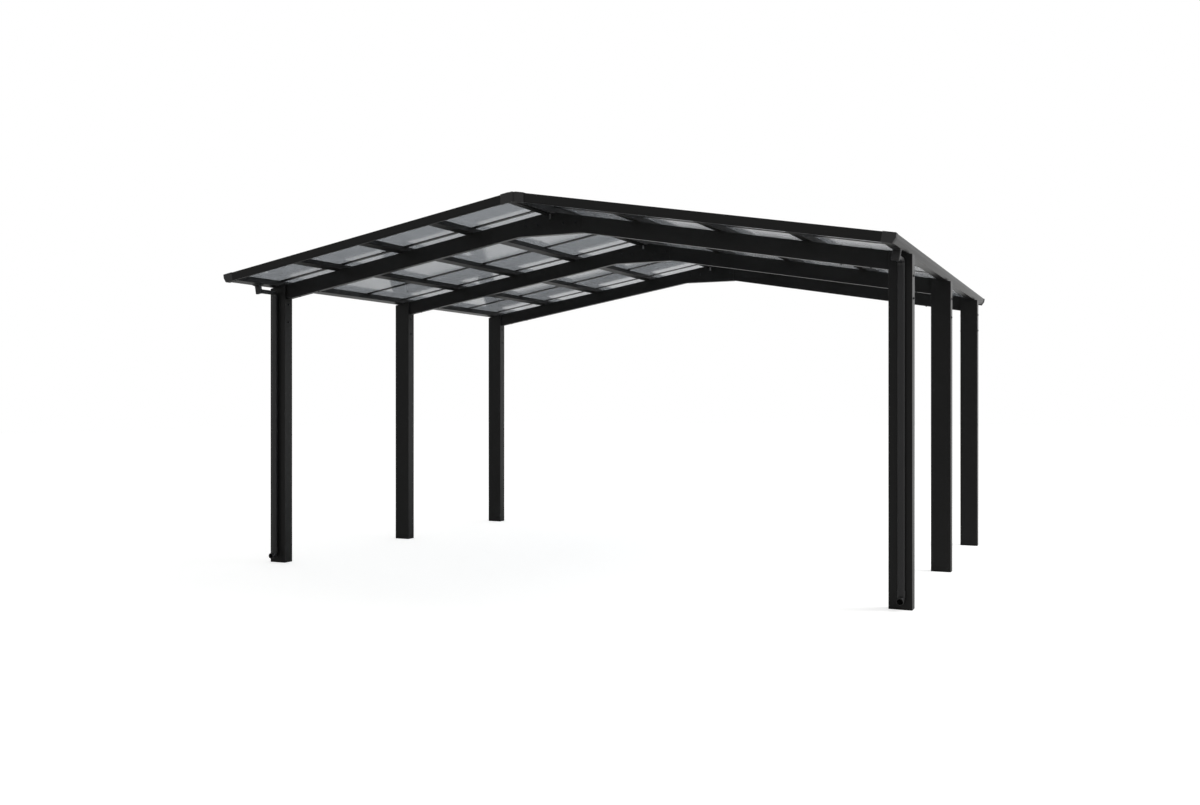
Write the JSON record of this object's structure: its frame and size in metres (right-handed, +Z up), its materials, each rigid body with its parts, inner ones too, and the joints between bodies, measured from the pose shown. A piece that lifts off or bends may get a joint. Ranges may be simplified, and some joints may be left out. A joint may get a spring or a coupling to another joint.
{
  "type": "double carport",
  "caption": "Open double carport: gabled roof of tinted translucent sheets on hollow aluminium posts, rafters and purlins, with gutters and downpipes.",
  "frame": {"origin": "on the ground, at the centre of the rectangle that the six posts make", "axes": "+X across the gable to the right as seen from the front, +Y from the front to the back along the ridge, +Z up"},
  "size_m": [5.54, 5.042, 2.953],
  "materials": {
    "frame": "powder coated, black, semi-matt",
    "strip": "powder coated, dark grey",
    "panel": "smoke-tinted translucent polycarbonate sheet",
    "cap": "moulded, dark grey, fine grain",
    "pipe": "extruded, black"
  },
  "bodies": {
    "root": {"beam_back_left": "frame", "beam_back_right": "frame", "beam_front_left": "frame", "beam_front_right": "frame", "beam_middle_left": "frame", "beam_middle_right": "frame", "corner_cap_back_left": "cap", "corner_cap_back_right": "cap", "corner_cap_front_left": "cap", "corner_cap_front_right": "cap", "downpipe_left": "pipe", "downpipe_right": "pipe", "gutter_left": "frame", "gutter_outlet_left": "pipe", "gutter_outlet_right": "pipe", "gutter_right": "frame", "joint_strips_left": "strip", "joint_strips_right": "strip", "post_back_left": "frame", "post_back_right": "frame", "post_front_left": "frame", "post_front_right": "frame", "post_middle_left": "frame", "post_middle_right": "frame", "purlin_left_1": "frame", "purlin_left_2": "frame", "purlin_left_3": "frame", "purlin_right_1": "frame", "purlin_right_2": "frame", "purlin_right_3": "frame", "ridge_cap_back": "cap", "ridge_cap_front": "cap", "ridge_connector_back": "frame", "ridge_connector_front": "frame", "ridge_connector_middle": "frame", "ridge_cover": "frame", "ridge_rails": "frame", "roof_panels_left": "panel", "roof_panels_right": "panel", "spout_left": "pipe", "spout_right": "pipe", "verge_back_left": "frame", "verge_back_right": "frame", "verge_front_left": "frame", "verge_front_right": "frame"}
  },
  "joints": []
}
